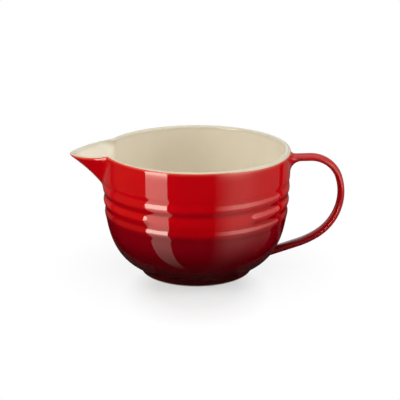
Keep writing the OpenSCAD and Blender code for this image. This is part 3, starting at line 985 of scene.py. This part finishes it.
def lamps():
    """Two lamps over the bowl and one to each side."""
    far, high = 1.25, 0.62
    sunny = (1.0, 0.98, 0.95)
    lamp("overhead", (0.0, -0.2, 1.6), wide=1.4, tall=1.2, radiance=2.4)
    lamp("front_high", (0.0, -1.2, 1.35), wide=1.2, tall=0.8, radiance=1.55)
    lamp("left_high", at(-68, far, high), wide=1.0, tall=0.8, radiance=3.95, shade=sunny)
    lamp("right_high", at(84, far, high), wide=1.0, tall=0.8, radiance=3.55)


def show_in_gloss(mesh, material):
    """Adds a mesh that only the gloss of the glaze shows."""
    obj = show(mesh, material)
    obj.visible_camera = obj.visible_diffuse = obj.visible_shadow = False
    obj.visible_transmission = obj.visible_volume_scatter = False


def gloss_card():
    """Dark card round the bowl with lit fields, seen only in the gloss of the glaze.

    It lies on the floor and stands up a metre away. Its fields are given by the
    turn in which a far card would be seen, and drawn in to the bowl so that a
    reflection keeps that turn all the way down the belly.
    """
    # distance and height in mm, strength of the left and of the right field
    rows = ((58.5, 1, 0, 0), (88, 1, 0, 0.02), (95, 1, 0.25, 0.05), (102, 1, 0.5, 0.08),
            (110, 1, 0.66, 0.12), (127, 1, 0.93, 0.26), (143, 1, 1.25, 0.45), (164, 1, 1.4, 0.7),
            (184, 1, 1.6, 0.8), (210, 1, 2.2, 0.8), (243, 1, 2.8, 0.85), (296, 1, 3.1, 0.9),
            (490, 1, 3.3, 0.9), (525, 1, 9.5, 2.8), (700, 1, 12, 3.3), (1000, 1, 13, 3.5),
            (1010, 50, 13, 3.5), (1010, 300, 12, 3.5), (1010, 900, 8, 4.5))
    # turn to the right of the front in degrees, share of the left, of the right and of the warm field
    fields = ((-126, 0, 0, 0), (-112, 0, 0, 1), (-90, 0, 0, 1), (-63.4, 0, 0, 1), (-63.0, 1, 0, 0),
              (-50, 1, 0, 0), (-35.2, 1, 0, 0), (-34.4, 0, 0, 0.1), (-20, 0, 0, 0), (21, 0, 0, 0),
              (32, 0, 0.45, 0), (46, 0, 1, 0), (64, 0, 1, 0), (74, 0, 0.75, 0), (88, 0, 0.5, 0),
              (108, 0, 0.3, 0), (122, 0, 0.26, 0), (122.5, 0, 0, 0))
    warm_glow, warm_from = 0.16, 250
    # behind the bowl, glow by the way along the card: its distance and height together, in mm
    back_turn, back_span = 124, 12
    back_way, back_glow = (200, 400, 1010, 1240, 1500), (0, 0.18, 0.3, 0.40, 0.45)

    r, z, low, high = np.array(rows, float).T[:, :, None]
    edges, *fields = np.array(fields, float).T
    turn = np.unique(np.r_[edges, np.arange(-180, 181, 4.0)])
    left, right, warm = (np.interp(turn, edges, field) for field in fields)
    drawn_in = 1 - 46 / r - 0.16 * (95 / r) ** 6
    grid = placed(r * MM, z * MM, FRONT + np.radians(turn) * drawn_in)
    glow = low * left + high * right + warm_glow * warm * (r > warm_from)
    glow = glow + eased(np.abs(turn), back_turn, back_span) * np.interp(r + z, back_way, back_glow)
    values = {"glow": glow, "warmth": warm + 0 * glow}
    daylight, warm_light = (1.0, 0.95, 0.82, 1), (1.0, 0.7, 0.3, 1)
    n = material_nodes("gloss_card")
    card = n.add("ShaderNodeEmission")
    n.feed(card, Color=n.mix(n.attribute("warmth"), daylight, warm_light), Strength=n.attribute("glow"))
    n.feed(n.output, Surface=card.outputs[0])
    show_in_gloss(grid_mesh("gloss_card", grid, values, columns_join=False), n.owner)


def dark_card():
    """Dark ring on the floor under the lit card, seen only in the gloss."""
    turn = np.radians(np.arange(0, 360, 5.0))
    grid = level_rings([(r * MM, 0.5 * MM) for r in (58, 95, 200, 400, 1020)], turn)
    n = material_nodes("dark_card")
    n.feed(n.shader, Base_Color=(0.02, 0.02, 0.02, 1), Roughness=1.0)
    show_in_gloss(clean(grid_mesh("dark_card", grid)), n.owner)


def world(scene):
    """White where it is looked at, and a faint even light on the object."""
    faint = 0.12
    scene.world = bpy.data.worlds.new("studio")
    n = Nodes(scene.world)
    n.feed(n.shader, Color=(1, 1, 1, 1), Strength=n.remap(n.seen(), 0.0, 1.0, faint, 1.0))


def camera(scene):
    """Camera of the photograph, fitted to the rim, the foot and both outlines."""
    tilt, distance, aim, sensor = math.radians(17.89), 1.3, Vector((0, 0, 60 * MM)), 36.0
    right = Vector((1, 0, 0))
    ahead = Vector((0, math.cos(tilt), -math.sin(tilt)))
    above = Vector((0, math.sin(tilt), math.cos(tilt)))
    look = ahead + right * ((PICTURE / 2 - AIM_SPOT[0]) / FOCAL)
    look = look + above * ((AIM_SPOT[1] - PICTURE / 2) / FOCAL)
    data = bpy.data.cameras.new("camera")
    data.sensor_width = sensor
    data.lens = FOCAL * sensor / PICTURE
    obj = bpy.data.objects.new("camera", data)
    scene.collection.objects.link(obj)
    obj.location = aim - ahead * distance
    obj.rotation_euler = look.to_track_quat("-Z", "Y").to_euler()
    scene.camera = obj


class Studio(Operator):
    """Set up the pale floor, the soft lamps and the camera"""
    bl_idname = "batter_bowl.studio"
    bl_label = "Studio"
    bl_options = {"REGISTER", "UNDO"}

    def execute(self, context):
        floor()
        lamps()
        gloss_card()
        dark_card()
        world(context.scene)
        camera(context.scene)
        context.scene.view_settings.view_transform = "Standard"
        return {"FINISHED"}


MAKERS = (RedSkin, CreamSkin, ClayBody, HandleSkin, FrameFinishes, Studio)


class BowlPanel(Panel):
    """Buttons for each piece of the batter bowl"""
    bl_idname = "VIEW3D_PT_batter_bowl"
    bl_label = "Batter bowl"
    bl_space_type = "VIEW_3D"
    bl_region_type = "UI"
    bl_category = "Batter bowl"

    def draw(self, context):
        for maker in MAKERS:
            self.layout.operator(maker.bl_idname)


CLASSES = (BowlSizes, SpoutSizes, HandleSizes, Colours, Finishes, Settings) + MAKERS + (BowlPanel,)


def register():
    for c in CLASSES:
        bpy.utils.register_class(c)
    bpy.types.Scene.batter_bowl = PointerProperty(type=Settings)


def unregister():
    del bpy.types.Scene.batter_bowl
    for c in reversed(CLASSES):
        bpy.utils.unregister_class(c)


def main():
    register()
    for maker in MAKERS:
        group, name = maker.bl_idname.split(".")
        getattr(getattr(bpy.ops, group), name)()


if __name__ == "__main__":
    main()
